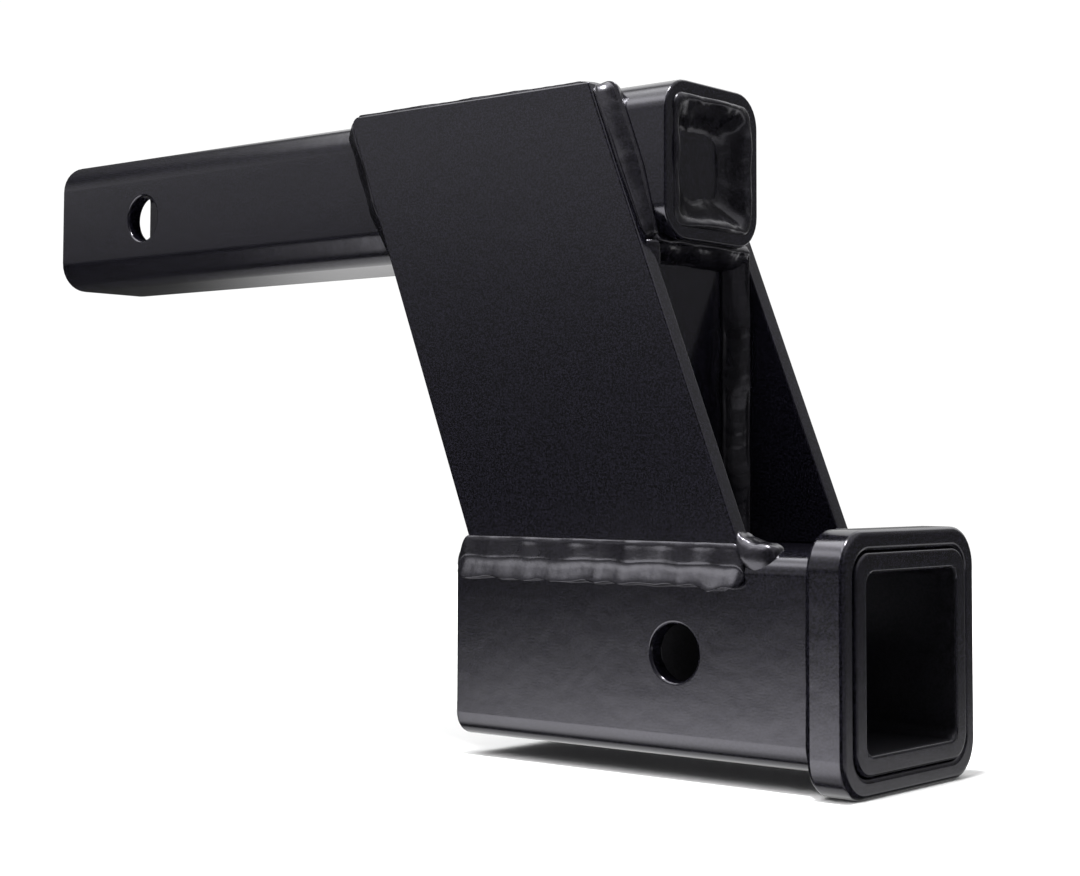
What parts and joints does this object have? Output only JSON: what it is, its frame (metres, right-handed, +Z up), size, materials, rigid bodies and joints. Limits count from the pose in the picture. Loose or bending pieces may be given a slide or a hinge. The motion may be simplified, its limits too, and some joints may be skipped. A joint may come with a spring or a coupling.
{
  "type": "hitch receiver adapter",
  "caption": "Welded steel drop adapter: a square shank above, slanted side plates with a web, and a collared square receiver socket below, both cross-drilled for a hitch pin.",
  "frame": {"origin": "middle of the shank's pin hole, on the shank's axis", "axes": "+X along the shank towards the receiver's mouth, +Y along the pin holes, +Z up, so the receiver hangs below the shank"},
  "size_m": [0.3762, 0.0762, 0.2174],
  "materials": {
    "black_paint": "semi-gloss black paint with fine orange peel",
    "painted_weld": "gloss black paint over rippled weld metal"
  },
  "bodies": {
    "root": {"shank_tube": "black_paint", "shank_plug": "black_paint", "receiver_tube": "black_paint", "receiver_collar": "black_paint", "left_side_plate": "black_paint", "right_side_plate": "black_paint", "web_plate": "black_paint", "weld_shank_plug": "painted_weld", "weld_receiver_collar": "painted_weld", "weld_left_top": "painted_weld", "weld_left_front": "painted_weld", "weld_left_rear": "painted_weld", "weld_left_foot": "painted_weld", "weld_right_top": "painted_weld", "weld_right_front": "painted_weld", "weld_right_rear": "painted_weld", "weld_right_foot": "painted_weld", "weld_web_top": "painted_weld", "weld_web_foot": "painted_weld", "weld_web_left": "painted_weld", "weld_web_right": "painted_weld"}
  },
  "joints": []
}
